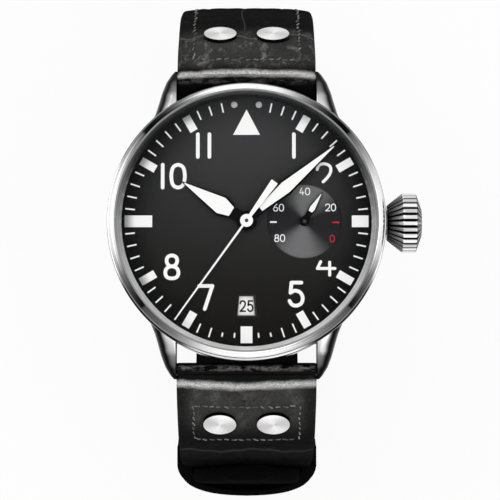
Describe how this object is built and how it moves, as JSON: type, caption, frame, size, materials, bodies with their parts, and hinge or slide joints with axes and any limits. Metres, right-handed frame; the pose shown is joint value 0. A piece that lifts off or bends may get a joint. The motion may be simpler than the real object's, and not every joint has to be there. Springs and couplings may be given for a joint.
{
  "type": "pilot wristwatch",
  "caption": "Steel pilot's wristwatch with a black dial, reserve sub-dial, date window, fluted crown, and a closed, riveted, buckled black leather strap.",
  "frame": {"origin": "centre of the case back's outer face, which rests on the wrist", "axes": "+Z out through the dial, +Y to twelve o'clock, +X to three o'clock and the crown; the strap is closed below the case"},
  "size_m": [0.0491, 0.0825, 0.0616],
  "materials": {
    "case_steel": "polished",
    "bezel_steel": "polished",
    "inner_ring": "polished",
    "sapphire": "polished",
    "gasket": "matt",
    "crown_steel": "polished",
    "stem_steel": "turned",
    "dial_paint": "matt",
    "white_paint": "matt",
    "date_paint": "matt",
    "hand_black": "satin",
    "hand_white": "satin",
    "gilt": "polished",
    "wheel_steel": "polished",
    "bridge_plate": "striped, plated",
    "rotor_plate": "striped, plated",
    "screw_steel": "blued",
    "spring_steel": "polished",
    "bar_steel": "turned",
    "rivet_steel": "brushed",
    "strap_leather": "embossed, semi-gloss",
    "lining_leather": "matt",
    "buckle_steel": "polished"
  },
  "bodies": {
    "watch": {"case_middle": "case_steel", "bezel": "bezel_steel", "rehaut_ring": "inner_ring", "crystal": "sapphire", "crystal_gasket": "gasket", "case_back": "case_steel", "back_glass": "sapphire", "movement_ring": "case_steel", "crown_tube": "stem_steel", "dial": "dial_paint", "dial_markers": "white_paint", "dial_dots": "white_paint", "hairspring": "spring_steel", "main_plate": "bridge_plate", "barrel_bridge": "bridge_plate", "balance_cock": "bridge_plate", "train_bridge": "bridge_plate", "rotor_bearing": "wheel_steel", "bridge_screws": "screw_steel", "upper_spring_bar": "bar_steel", "lower_spring_bar": "bar_steel", "upper_rivets": "rivet_steel", "lower_rivets": "rivet_steel", "strap_long": "strap_leather", "strap_long_lining": "lining_leather", "strap_short": "strap_leather", "strap_short_lining": "lining_leather", "buckle_frame": "buckle_steel", "buckle_pin": "bar_steel", "fixed_keeper": "strap_leather"},
    "minute": {"centre_wheel": "gilt", "cannon_pinion": "wheel_steel", "minute_hand": "hand_black"},
    "hour": {"hour_wheel": "gilt", "hour_hand": "hand_black"},
    "seconds": {"fourth_wheel": "gilt", "seconds_hand": "hand_white"},
    "third": {"third_wheel": "gilt"},
    "barrel": {"mainspring_barrel": "gilt"},
    "motion_work": {"minute_wheel": "gilt"},
    "escape": {"escape_wheel": "wheel_steel"},
    "fork": {"pallet_fork": "wheel_steel"},
    "balance": {"balance_wheel": "gilt"},
    "reserve": {"reserve_hand": "hand_black", "reserve_arbor": "wheel_steel"},
    "date": {"date_disc": "date_paint"},
    "rotor": {"rotor": "rotor_plate"},
    "winding": {"winding_pinion": "wheel_steel"},
    "crown": {"crown": "crown_steel", "crown_gasket": "gasket", "winding_stem": "stem_steel", "sliding_pinion": "wheel_steel"},
    "crown_wheel": {"crown_wheel": "wheel_steel"},
    "ratchet": {"ratchet_wheel": "wheel_steel"},
    "tongue": {"buckle_tongue": "buckle_steel"},
    "keeper": {"free_keeper": "strap_leather"}
  },
  "joints": [
    {"name": "minute_turn", "type": "hinge", "parent": "watch", "child": "minute", "pos_m": [0, 0, 0.0092], "axis": [0, 0, 1], "continuous": true},
    {"name": "hour_turn", "type": "hinge", "parent": "watch", "child": "hour", "pos_m": [0, 0, 0.0088], "axis": [0, 0, 1], "continuous": true},
    {"name": "seconds_turn", "type": "hinge", "parent": "watch", "child": "seconds", "pos_m": [0, 0, 0.0096], "axis": [0, 0, 1], "continuous": true},
    {"name": "third_turn", "type": "hinge", "parent": "watch", "child": "third", "pos_m": [-0.00541, -0.00145, 0.0042], "axis": [0, 0, 1], "continuous": true},
    {"name": "barrel_turn", "type": "hinge", "parent": "watch", "child": "barrel", "pos_m": [0.00327, 0.00566, 0.0049], "axis": [0, 0, 1], "continuous": true},
    {"name": "motion_turn", "type": "hinge", "parent": "watch", "child": "motion_work", "pos_m": [-0.00109, 0.00301, 0.0074], "axis": [0, 0, 1], "continuous": true},
    {"name": "escape_turn", "type": "hinge", "parent": "watch", "child": "escape", "pos_m": [0.00145, -0.00541, 0.0049], "axis": [0, 0, 1], "continuous": true},
    {"name": "fork_swing", "type": "hinge", "parent": "watch", "child": "fork", "pos_m": [0.00339, -0.00709, 0.0049], "axis": [0, 0, 1], "range_deg": [-3, 3]},
    {"name": "balance_swing", "type": "hinge", "parent": "watch", "child": "balance", "pos_m": [0.0048, -0.00831, 0.0045], "axis": [0, 0, 1], "range_deg": [-10, 10]},
    {"name": "reserve_turn", "type": "hinge", "parent": "watch", "child": "reserve", "pos_m": [0.00902, 0, 0.0085], "axis": [0, 0, 1], "range_deg": [-91, 155]},
    {"name": "date_turn", "type": "hinge", "parent": "watch", "child": "date", "pos_m": [0, 0, 0.0077], "axis": [0, 0, 1], "continuous": true},
    {"name": "rotor_turn", "type": "hinge", "parent": "watch", "child": "rotor", "pos_m": [0, 0, 0.002], "axis": [0, 0, 1], "continuous": true},
    {"name": "winding_turn", "type": "hinge", "parent": "watch", "child": "winding", "pos_m": [0.0113, 0, 0.0056], "axis": [1, 0, 0], "continuous": true},
    {"name": "crown_pull", "type": "slide", "parent": "winding", "child": "crown", "axis": [1, 0, 0], "range_m": [0, 0.0012]},
    {"name": "crown_wheel_turn", "type": "hinge", "parent": "watch", "child": "crown_wheel", "pos_m": [0.0099, 0.00244, 0.0027], "axis": [0, 0, 1], "continuous": true},
    {"name": "ratchet_turn", "type": "hinge", "parent": "watch", "child": "ratchet", "pos_m": [0.00327, 0.00566, 0.0027], "axis": [0, 0, 1], "continuous": true},
    {"name": "tongue_swing", "type": "hinge", "parent": "watch", "child": "tongue", "pos_m": [0, 0.004, -0.04504], "axis": [-1, 0, 0], "range_deg": [0, 15]},
    {"name": "keeper_slide", "type": "hinge", "parent": "watch", "child": "keeper", "pos_m": [0, -0.01663, -0.02474], "axis": [1, 0, 0], "range_deg": [0, 25]}
  ],
  "couplings": [
    {"joint": "hour_turn", "follows": "minute_turn", "ratio": 0.083333},
    {"joint": "seconds_turn", "follows": "minute_turn", "ratio": 60},
    {"joint": "third_turn", "follows": "minute_turn", "ratio": -8},
    {"joint": "barrel_turn", "follows": "minute_turn", "ratio": -0.16667},
    {"joint": "motion_turn", "follows": "minute_turn", "ratio": -0.33333},
    {"joint": "escape_turn", "follows": "minute_turn", "ratio": -600},
    {"joint": "crown_wheel_turn", "follows": "winding_turn", "ratio": 0.5},
    {"joint": "ratchet_turn", "follows": "winding_turn", "ratio": -0.35714},
    {"joint": "fork_swing", "follows": "balance_swing", "ratio": -0.29106}
  ]
}
